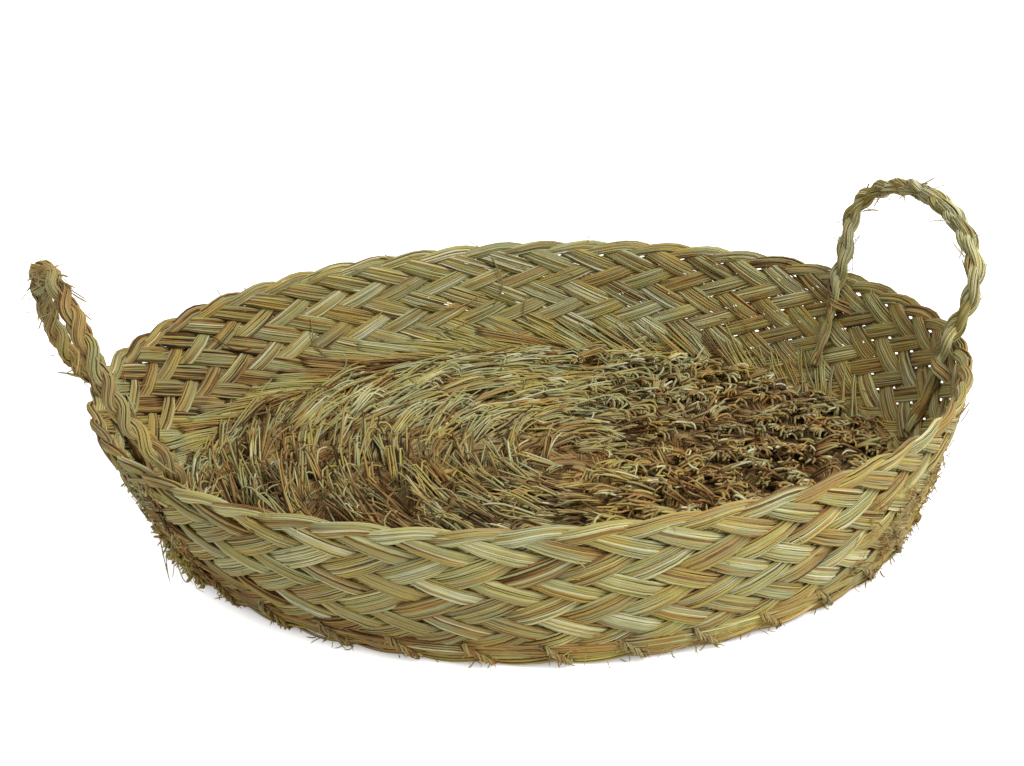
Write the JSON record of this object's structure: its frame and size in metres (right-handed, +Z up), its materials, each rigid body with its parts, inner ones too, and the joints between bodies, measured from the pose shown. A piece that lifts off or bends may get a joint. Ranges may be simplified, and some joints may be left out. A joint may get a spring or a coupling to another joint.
{
  "type": "flat basket",
  "caption": "Flat oval basket of plaited esparto grass: low flared herringbone wall, coiled sewn floor and braided rope loop handles that tilt at the rim.",
  "frame": {"origin": "under the middle of the floor, on the surface that the basket stands on", "axes": "+Z up, +X along the long axis to the right handle, +Y to the back"},
  "size_m": [0.5971, 0.4914, 0.1932],
  "materials": {
    "wall_esparto": "dry plaited esparto grass, sage green to straw, with a dull waxy sheen",
    "floor_esparto": "dry esparto plait, rough side up with loose straw ends",
    "sewing_cord": "twisted esparto cord, yellow-brown and hairy",
    "handle_rope": "three-strand braid of esparto bundles, matt and fuzzy"
  },
  "bodies": {
    "basket": {"wall_plait": "wall_esparto", "wall_lap": "wall_esparto", "floor_plait": "floor_esparto", "floor_sewing_cord": "sewing_cord", "foot_lacing": "sewing_cord", "right_first_tail_strand_1": "handle_rope", "right_first_tail_strand_2": "handle_rope", "right_first_tail_strand_3": "handle_rope", "right_second_tail_strand_1": "handle_rope", "right_second_tail_strand_2": "handle_rope", "right_second_tail_strand_3": "handle_rope", "left_first_tail_strand_1": "handle_rope", "left_first_tail_strand_2": "handle_rope", "left_first_tail_strand_3": "handle_rope", "left_second_tail_strand_1": "handle_rope", "left_second_tail_strand_2": "handle_rope", "left_second_tail_strand_3": "handle_rope"},
    "right_handle": {"right_handle_strand_1": "handle_rope", "right_handle_strand_2": "handle_rope", "right_handle_strand_3": "handle_rope"},
    "left_handle": {"left_handle_strand_1": "handle_rope", "left_handle_strand_2": "handle_rope", "left_handle_strand_3": "handle_rope"}
  },
  "joints": [
    {"name": "right_handle_tilt", "type": "hinge", "parent": "basket", "child": "right_handle", "pos_m": [0.25596, -0.02884, 0.0906], "axis": [0.1506, 0.9886, 0], "range_deg": [-60, 25]},
    {"name": "left_handle_tilt", "type": "hinge", "parent": "basket", "child": "left_handle", "pos_m": [-0.26083, 0, 0.0906], "axis": [0, -1, 0], "range_deg": [-70, 10]}
  ]
}
